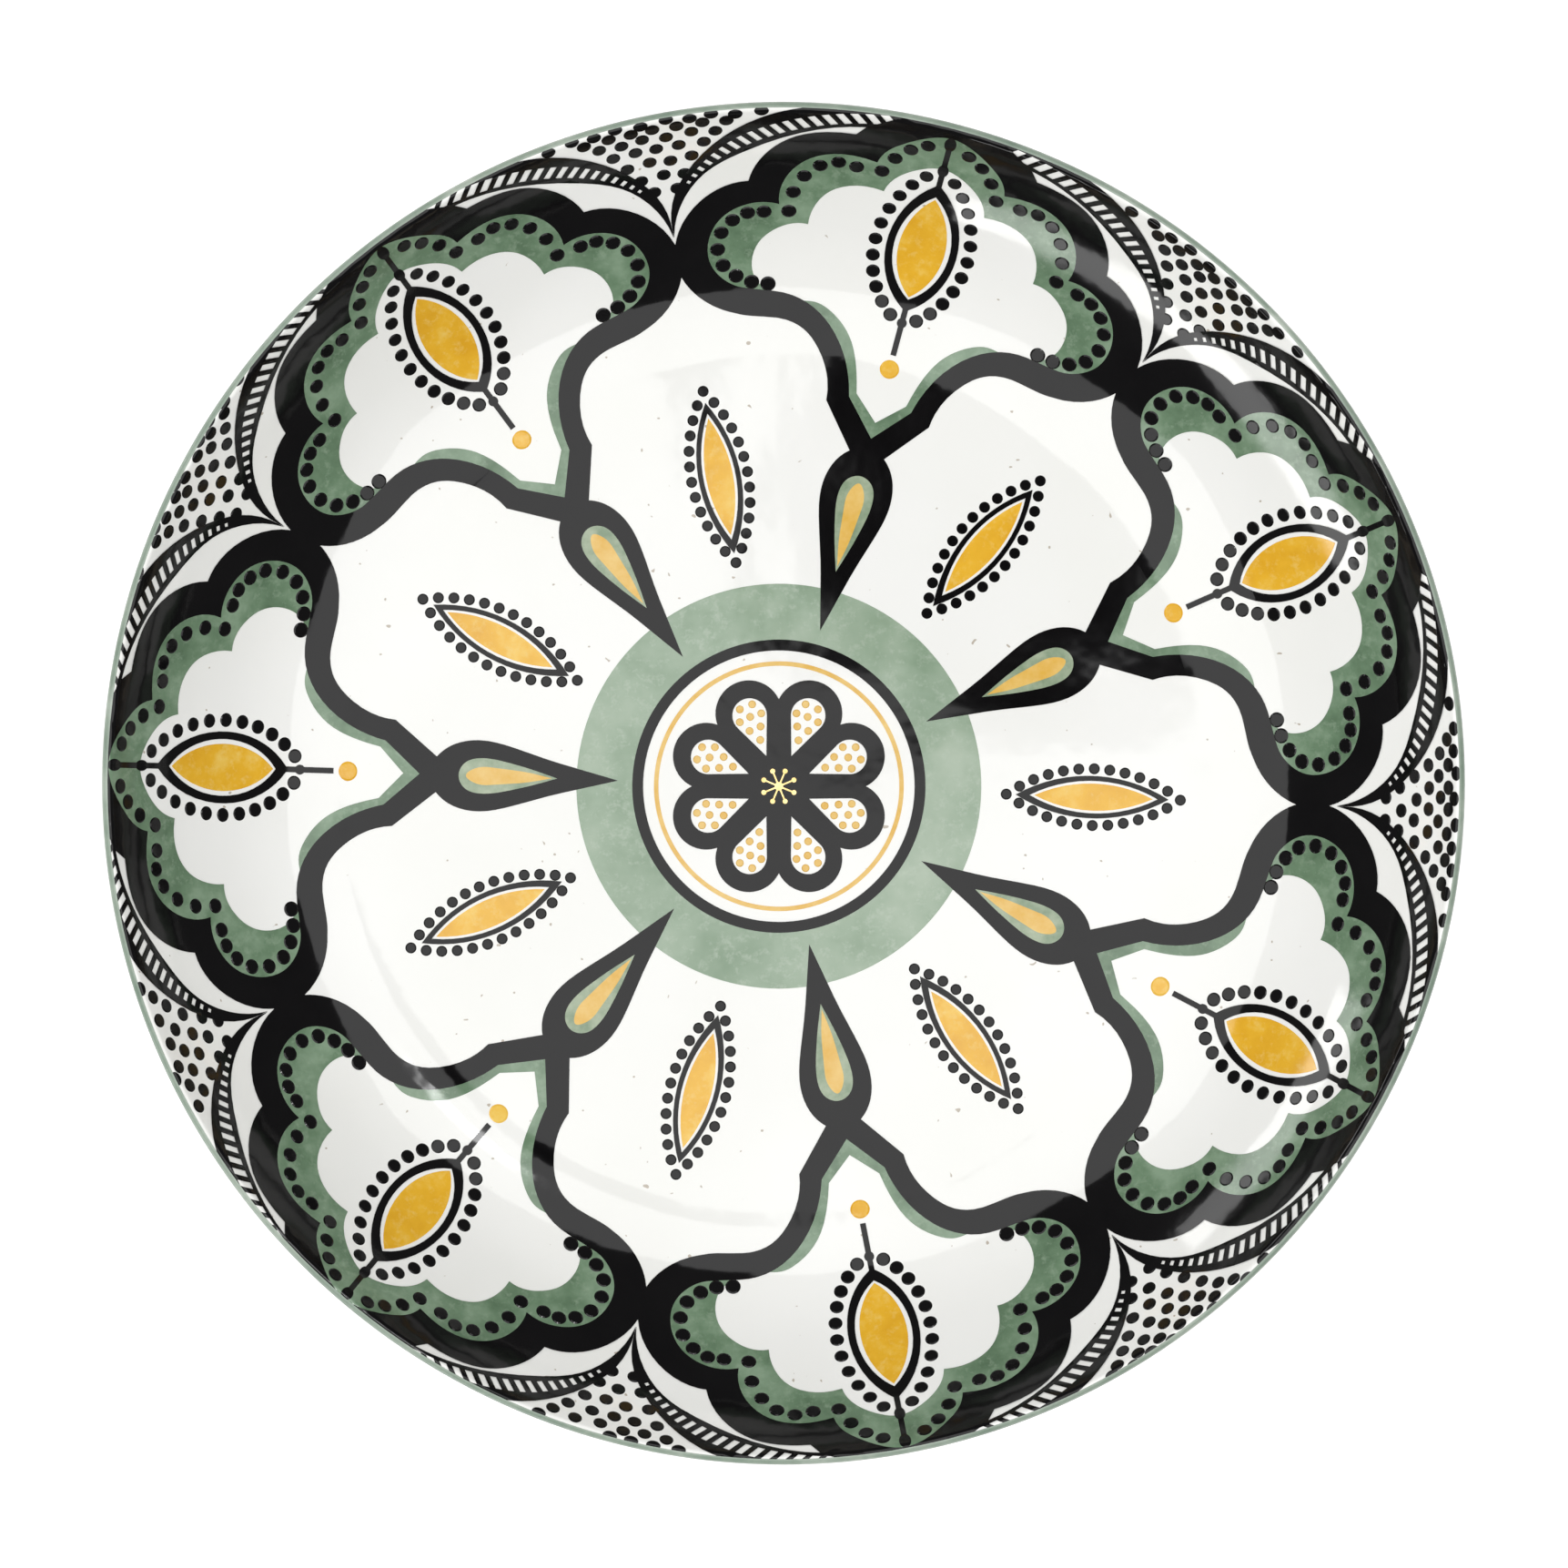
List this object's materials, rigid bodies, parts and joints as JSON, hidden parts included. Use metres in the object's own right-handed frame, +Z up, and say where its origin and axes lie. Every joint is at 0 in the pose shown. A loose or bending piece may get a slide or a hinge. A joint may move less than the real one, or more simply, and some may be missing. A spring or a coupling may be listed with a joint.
{
  "type": "decorative plate",
  "caption": "Deep round glazed earthenware plate on a foot ring, with painted petals, leaves, darts, beads and a flower medallion, and a coloured lip.",
  "frame": {"origin": "centre of the foot ring's bottom, on the plate's axis", "axes": "+Z up along the plate's axis, out of its open side; +X to the right and +Y to the top of the painting as it is hung or pictured"},
  "size_m": [0.2703, 0.2704, 0.0407],
  "materials": {
    "bare_clay": "unglazed, sanded, slightly dusty",
    "white_glaze": "glossy white tin glaze",
    "sage_enamel": "glossy, thin and a little uneven",
    "green_enamel": "glossy, brushed wash, mottled",
    "ochre_enamel": "glossy, brushed wash, mottled",
    "black_enamel": "glossy, slightly raised",
    "gilt": "thin burnished gilding"
  },
  "bodies": {
    "root": {"clay_body": "bare_clay", "face_glaze": "white_glaze", "back_glaze": "white_glaze", "foot_well_glaze": "white_glaze", "rim_band": "sage_enamel", "well_wash_ring": "green_enamel", "well_border_ring": "black_enamel", "well_hairline": "ochre_enamel", "well_flower": "black_enamel", "flower_stipple": "ochre_enamel", "gilt_star": "gilt", "dart_outlines": "black_enamel", "dart_washes": "green_enamel", "dart_flames": "ochre_enamel", "spindle_outlines": "black_enamel", "spindle_fills": "ochre_enamel", "spindle_beads": "black_enamel", "petal_borders": "black_enamel", "petal_washes": "green_enamel", "petal_beads": "black_enamel", "leaf_outlines": "black_enamel", "leaf_fills": "ochre_enamel", "leaf_beads": "black_enamel", "berry_dots": "ochre_enamel", "rim_arcs": "black_enamel", "rim_beads": "black_enamel", "rim_edge_beads": "black_enamel"}
  },
  "joints": []
}
